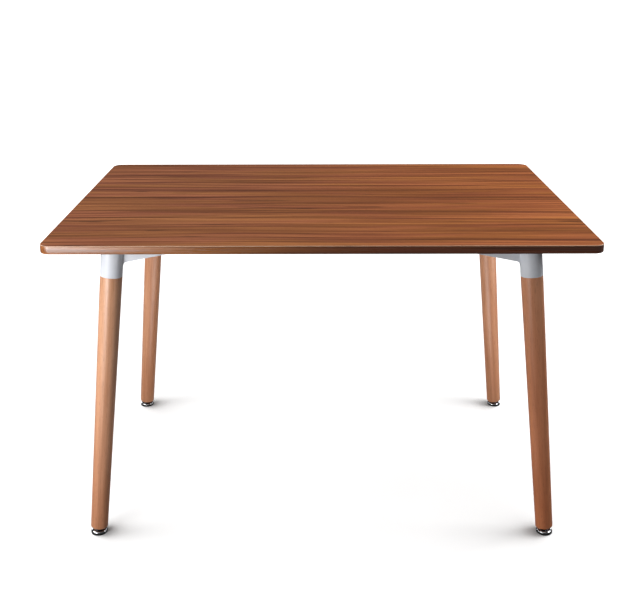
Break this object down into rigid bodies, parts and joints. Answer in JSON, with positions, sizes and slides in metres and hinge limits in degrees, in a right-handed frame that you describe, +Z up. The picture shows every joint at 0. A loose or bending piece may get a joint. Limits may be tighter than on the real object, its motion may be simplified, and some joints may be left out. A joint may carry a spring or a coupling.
{
  "type": "dining table",
  "caption": "Rectangular dining table with a walnut-faced top on round tapered beech legs that splay from cast corner brackets and stand on screw-in levelling feet.",
  "frame": {"origin": "on the floor under the middle of the top", "axes": "+X along the top's length, +Y across it to the back edge, +Z up; the front edge is at -Y"},
  "size_m": [1.2, 0.8, 0.74],
  "materials": {
    "walnut_veneer": "satin lacquered walnut",
    "core_board": "medium density fibreboard",
    "backing_sheet": "plain balancing sheet",
    "beech": "satin lacquered beech",
    "bracket_coat": "satin powder coat",
    "fastener_steel": "zinc plated",
    "foot_chrome": "polished",
    "foot_rubber": "matt black"
  },
  "bodies": {
    "table": {"top_core": "core_board", "top_backing": "backing_sheet", "top_veneer": "walnut_veneer", "edge_band": "walnut_veneer", "bracket_front_left": "bracket_coat", "bracket_screws_front_left": "fastener_steel", "top_inserts_front_left": "fastener_steel", "leg_front_left": "beech", "leg_bolt_front_left": "fastener_steel", "leg_washer_front_left": "fastener_steel", "leg_insert_front_left": "fastener_steel", "foot_insert_front_left": "fastener_steel", "bracket_front_right": "bracket_coat", "bracket_screws_front_right": "fastener_steel", "top_inserts_front_right": "fastener_steel", "leg_front_right": "beech", "leg_bolt_front_right": "fastener_steel", "leg_washer_front_right": "fastener_steel", "leg_insert_front_right": "fastener_steel", "foot_insert_front_right": "fastener_steel", "bracket_back_left": "bracket_coat", "bracket_screws_back_left": "fastener_steel", "top_inserts_back_left": "fastener_steel", "leg_back_left": "beech", "leg_bolt_back_left": "fastener_steel", "leg_washer_back_left": "fastener_steel", "leg_insert_back_left": "fastener_steel", "foot_insert_back_left": "fastener_steel", "bracket_back_right": "bracket_coat", "bracket_screws_back_right": "fastener_steel", "top_inserts_back_right": "fastener_steel", "leg_back_right": "beech", "leg_bolt_back_right": "fastener_steel", "leg_washer_back_right": "fastener_steel", "leg_insert_back_right": "fastener_steel", "foot_insert_back_right": "fastener_steel"},
    "foot_front_left": {"foot_cap_front_left": "foot_chrome", "foot_pad_front_left": "foot_rubber"},
    "stem_front_left": {"foot_stem_front_left": "fastener_steel"},
    "foot_front_right": {"foot_cap_front_right": "foot_chrome", "foot_pad_front_right": "foot_rubber"},
    "stem_front_right": {"foot_stem_front_right": "fastener_steel"},
    "foot_back_left": {"foot_cap_back_left": "foot_chrome", "foot_pad_back_left": "foot_rubber"},
    "stem_back_left": {"foot_stem_back_left": "fastener_steel"},
    "foot_back_right": {"foot_cap_back_right": "foot_chrome", "foot_pad_back_right": "foot_rubber"},
    "stem_back_right": {"foot_stem_back_right": "fastener_steel"}
  },
  "joints": [
    {"name": "foot_front_left_raise", "type": "slide", "parent": "table", "child": "foot_front_left", "axis": [-0.0984, -0.0548, -0.9936], "range_m": [0, 0.01]},
    {"name": "stem_front_left_turn", "type": "hinge", "parent": "foot_front_left", "child": "stem_front_left", "pos_m": [-0.53393, -0.33048, 0.0058], "axis": [-0.0984, -0.0548, -0.9936], "range_deg": [0, 2880]},
    {"name": "foot_front_right_raise", "type": "slide", "parent": "table", "child": "foot_front_right", "axis": [0.0984, -0.0548, -0.9936], "range_m": [0, 0.01]},
    {"name": "stem_front_right_turn", "type": "hinge", "parent": "foot_front_right", "child": "stem_front_right", "pos_m": [0.53393, -0.33048, 0.0058], "axis": [0.0984, -0.0548, -0.9936], "range_deg": [0, 2880]},
    {"name": "foot_back_left_raise", "type": "slide", "parent": "table", "child": "foot_back_left", "axis": [-0.0984, 0.0548, -0.9936], "range_m": [0, 0.01]},
    {"name": "stem_back_left_turn", "type": "hinge", "parent": "foot_back_left", "child": "stem_back_left", "pos_m": [-0.53393, 0.33048, 0.0058], "axis": [-0.0984, 0.0548, -0.9936], "range_deg": [0, 2880]},
    {"name": "foot_back_right_raise", "type": "slide", "parent": "table", "child": "foot_back_right", "axis": [0.0984, 0.0548, -0.9936], "range_m": [0, 0.01]},
    {"name": "stem_back_right_turn", "type": "hinge", "parent": "foot_back_right", "child": "stem_back_right", "pos_m": [0.53393, 0.33048, 0.0058], "axis": [0.0984, 0.0548, -0.9936], "range_deg": [0, 2880]}
  ],
  "couplings": [
    {"joint": "stem_front_left_turn", "follows": "foot_front_left_raise", "rad_per_m": 5026.5},
    {"joint": "stem_front_right_turn", "follows": "foot_front_right_raise", "rad_per_m": 5026.5},
    {"joint": "stem_back_left_turn", "follows": "foot_back_left_raise", "rad_per_m": 5026.5},
    {"joint": "stem_back_right_turn", "follows": "foot_back_right_raise", "rad_per_m": 5026.5}
  ]
}
